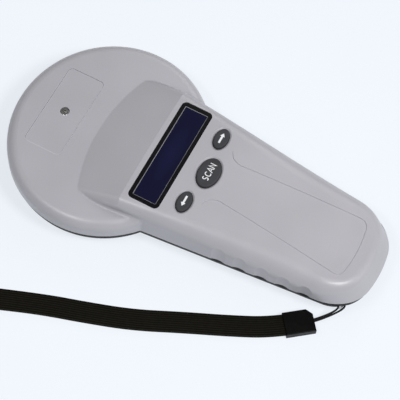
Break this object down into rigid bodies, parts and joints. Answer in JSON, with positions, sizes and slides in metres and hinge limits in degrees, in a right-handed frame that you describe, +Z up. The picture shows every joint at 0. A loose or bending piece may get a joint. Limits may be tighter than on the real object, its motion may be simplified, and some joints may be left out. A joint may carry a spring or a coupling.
{
  "type": "handheld microchip scanner",
  "caption": "Hand-held animal microchip scanner: round antenna head on a tapered handle with a display, rubber keys, battery door and a wrist strap.",
  "frame": {"origin": "on the resting surface, under the centre of the oval antenna head", "axes": "+X along the handle from the head's centre to the handle's end, +Z up through the display side, -Y the side on which the wrist strap hangs"},
  "size_m": [0.2421, 0.1974, 0.0382],
  "materials": {
    "casing": "fine satin moulded grain",
    "base": "fine satin moulded grain",
    "bezel": "gloss black",
    "lens": "clear gloss window over a blank dark blue panel",
    "key_rubber": "matte silicone",
    "lcd_metal": "stamped steel",
    "lcd_panel": "reflective liquid crystal glass",
    "circuit_board": "green solder mask",
    "component": "moulded epoxy",
    "screw_steel": "zinc plated",
    "pin_steel": "plain turned steel",
    "bobbin_plastic": "natural nylon",
    "copper": "enamelled copper wire",
    "battery_can": "plain dark label wrap",
    "foam": "open cell foam",
    "wire": "vinyl insulation",
    "clip_plastic": "smooth black nylon",
    "webbing": "ribbed woven nylon",
    "cord": "braided cord"
  },
  "bodies": {
    "casing": {"upper_shell": "casing", "lower_shell": "base", "display_bezel": "bezel", "display_lens": "lens", "lcd_frame": "lcd_metal", "lcd_glass": "lcd_panel", "lcd_board": "circuit_board", "lcd_header": "component", "keypad_mat": "key_rubber", "key_domes": "lcd_metal", "main_board": "circuit_board", "board_screws": "screw_steel", "board_chips": "component", "buzzer": "component", "battery_socket": "component", "antenna_socket": "component", "antenna_bobbin": "bobbin_plastic", "antenna_coil": "copper", "tuning_board": "circuit_board", "tuning_trimmer": "component", "battery": "battery_can", "battery_snap": "component", "battery_pad": "foam", "battery_leads": "wire", "antenna_leads": "wire", "case_screws": "screw_steel", "strap_post": "pin_steel", "strap_clip": "clip_plastic", "strap_string": "cord", "strap_lower": "webbing", "strap_upper": "webbing", "strap_fold": "webbing"},
    "scan_key": {"scan_key": "key_rubber"},
    "up_key": {"up_key": "key_rubber"},
    "down_key": {"down_key": "key_rubber"},
    "cover": {"access_cover": "casing"},
    "cover_screw": {"cover_screw": "screw_steel"},
    "battery_door": {"battery_door": "base"}
  },
  "joints": [
    {"name": "scan_key_press", "type": "slide", "parent": "casing", "child": "scan_key", "axis": [0, 0, -1], "range_m": [0, 0.001], "stiffness_N_per_m": 300, "springref_m": -0.0012},
    {"name": "up_key_press", "type": "slide", "parent": "casing", "child": "up_key", "axis": [0, 0, -1], "range_m": [0, 0.001], "stiffness_N_per_m": 300, "springref_m": -0.0012},
    {"name": "down_key_press", "type": "slide", "parent": "casing", "child": "down_key", "axis": [0, 0, -1], "range_m": [0, 0.001], "stiffness_N_per_m": 300, "springref_m": -0.0012},
    {"name": "cover_lift", "type": "slide", "parent": "casing", "child": "cover", "axis": [0, 0, 1], "range_m": [0, 0.025]},
    {"name": "cover_screw_turn", "type": "hinge", "parent": "cover", "child": "cover_screw", "pos_m": [-0.0306, 0, 0.026], "axis": [0, 0, 1], "continuous": true},
    {"name": "battery_door_slide", "type": "slide", "parent": "casing", "child": "battery_door", "axis": [1, 0, 0], "range_m": [0, 0.075]}
  ]
}
